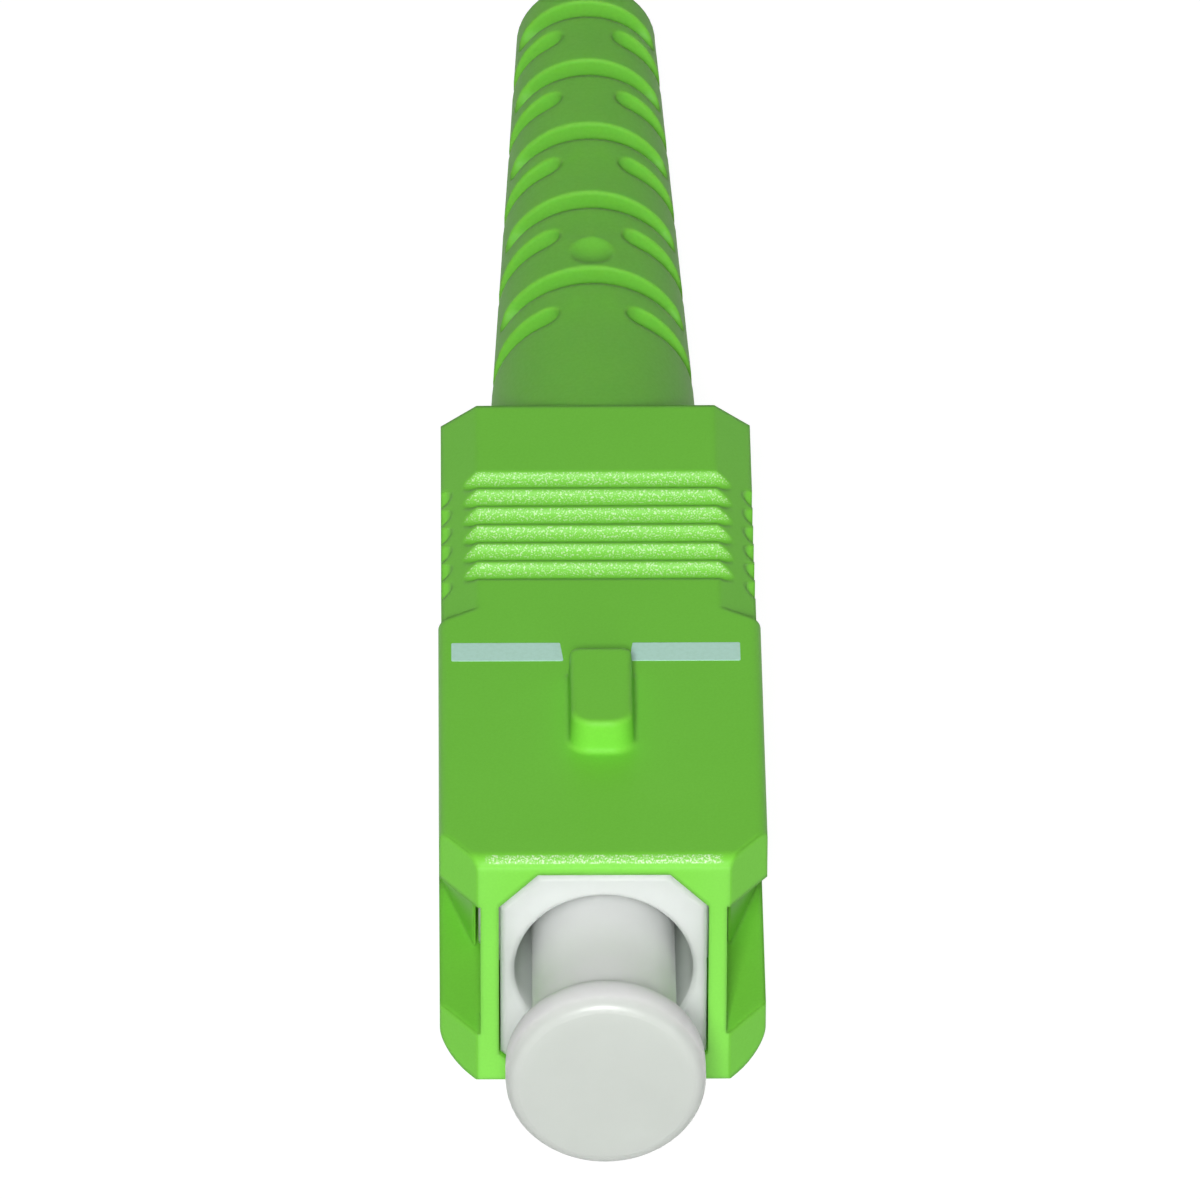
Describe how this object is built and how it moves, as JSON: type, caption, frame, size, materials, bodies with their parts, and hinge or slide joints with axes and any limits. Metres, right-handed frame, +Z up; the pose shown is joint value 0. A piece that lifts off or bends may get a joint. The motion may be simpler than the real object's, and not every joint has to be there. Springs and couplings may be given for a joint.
{
  "type": "fibre optic connector plug",
  "caption": "Push-pull fibre optic plug with a green grip sleeve, white inner frame, spring-loaded ceramic ferrule, translucent dust cap and slotted strain relief boot.",
  "frame": {"origin": "on the optical axis, in the plane of the sleeve's nose", "axes": "+Y from the nose towards the boot along the optical axis, +Z up on the key's side, +X to the right seen from the nose"},
  "size_m": [0.009, 0.0537, 0.0084],
  "materials": {
    "sleeve_green": "moulded green plastic, fine satin grain",
    "frame_white": "moulded white plastic, satin",
    "ferrule_ceramic": "polished white zirconia",
    "holder_nickel": "turned metal, nickel plated",
    "guide_tube_clear": "milky fluoropolymer tube",
    "spring_steel": "drawn spring wire",
    "body_nickel": "turned metal, nickel plated",
    "crimp_metal": "plain drawn sleeve",
    "boot_green": "soft moulded green elastomer, matte",
    "cap_frosted": "translucent frosted soft plastic"
  },
  "bodies": {
    "plug": {"plug_frame": "frame_white", "rear_body": "body_nickel", "crimp_sleeve": "crimp_metal", "strain_relief_boot": "boot_green"},
    "sleeve": {"coupling_sleeve": "sleeve_green"},
    "ferrule_unit": {"ferrule": "ferrule_ceramic", "ferrule_holder": "holder_nickel", "fibre_guide_tube": "guide_tube_clear", "ferrule_spring": "spring_steel"},
    "cap": {"dust_cap": "cap_frosted"}
  },
  "joints": [
    {"name": "sleeve_pull", "type": "slide", "parent": "plug", "child": "sleeve", "axis": [0, 1, 0], "range_m": [0, 0.002]},
    {"name": "ferrule_retract", "type": "slide", "parent": "plug", "child": "ferrule_unit", "axis": [0, 1, 0], "range_m": [0, 0.0012], "stiffness_N_per_m": 2500, "deforming": ["ferrule_spring"]},
    {"name": "cap_pull", "type": "slide", "parent": "ferrule_unit", "child": "cap", "axis": [0, -1, 0], "range_m": [0, 0.012]}
  ]
}
